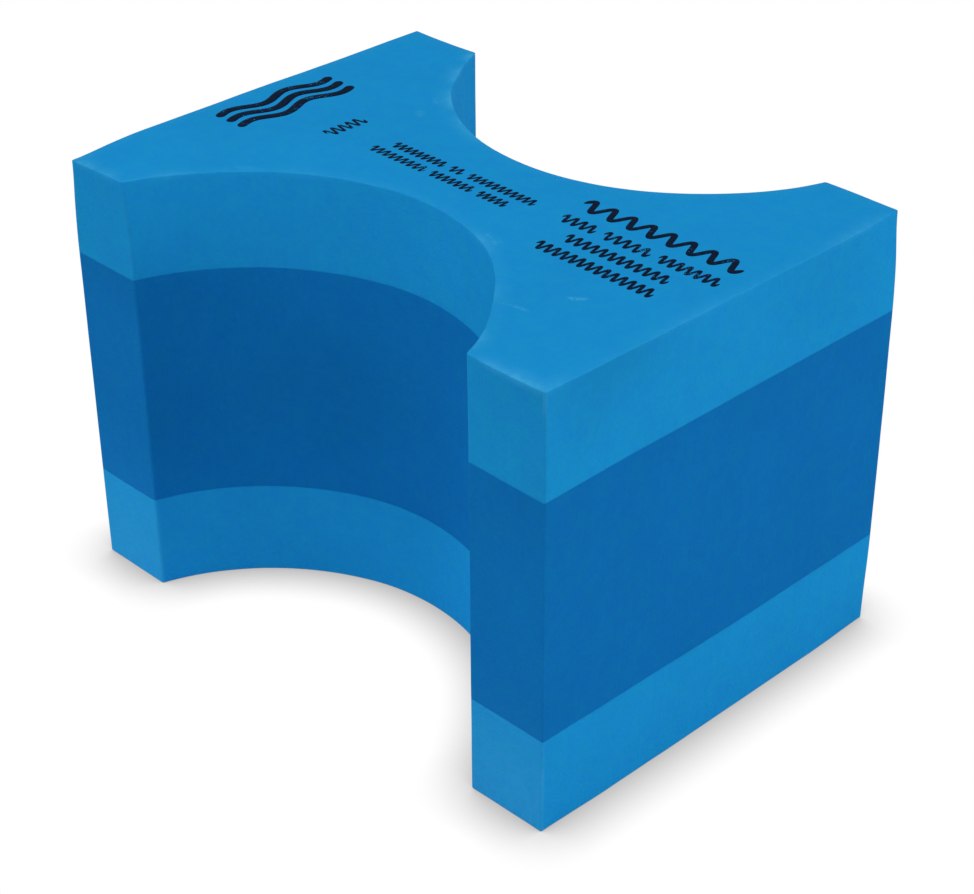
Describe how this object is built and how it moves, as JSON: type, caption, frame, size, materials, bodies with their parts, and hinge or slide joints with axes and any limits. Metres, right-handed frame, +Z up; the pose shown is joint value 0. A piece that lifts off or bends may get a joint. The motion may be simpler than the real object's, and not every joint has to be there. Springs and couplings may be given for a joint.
{
  "type": "pull buoy float",
  "caption": "Block of bonded foam slabs with a round thigh scoop in each long side, gripped between the legs to float a swimmer's hips.",
  "frame": {"origin": "centre of the bottom face", "axes": "+X along the length, from the emblem end to the notice end; +Y across the width, between the two scooped sides; +Z up, through the slabs"},
  "size_m": [0.188, 0.137, 0.1341],
  "materials": {
    "light_blue_foam": "matte",
    "dark_blue_foam": "matte",
    "bond_film": "satin",
    "black_ink": "satin"
  },
  "bodies": {
    "root": {"lower_slab": "light_blue_foam", "lower_bond_film": "bond_film", "core_slab": "dark_blue_foam", "upper_bond_film": "bond_film", "upper_slab": "light_blue_foam", "printed_wave_1": "black_ink", "printed_wave_2": "black_ink", "printed_wave_3": "black_ink", "printed_size_mark": "black_ink", "printed_note_line_1": "black_ink", "printed_note_line_2": "black_ink", "printed_notice_heading": "black_ink", "printed_notice_line_1": "black_ink", "printed_notice_line_2": "black_ink", "printed_notice_line_3": "black_ink"}
  },
  "joints": []
}
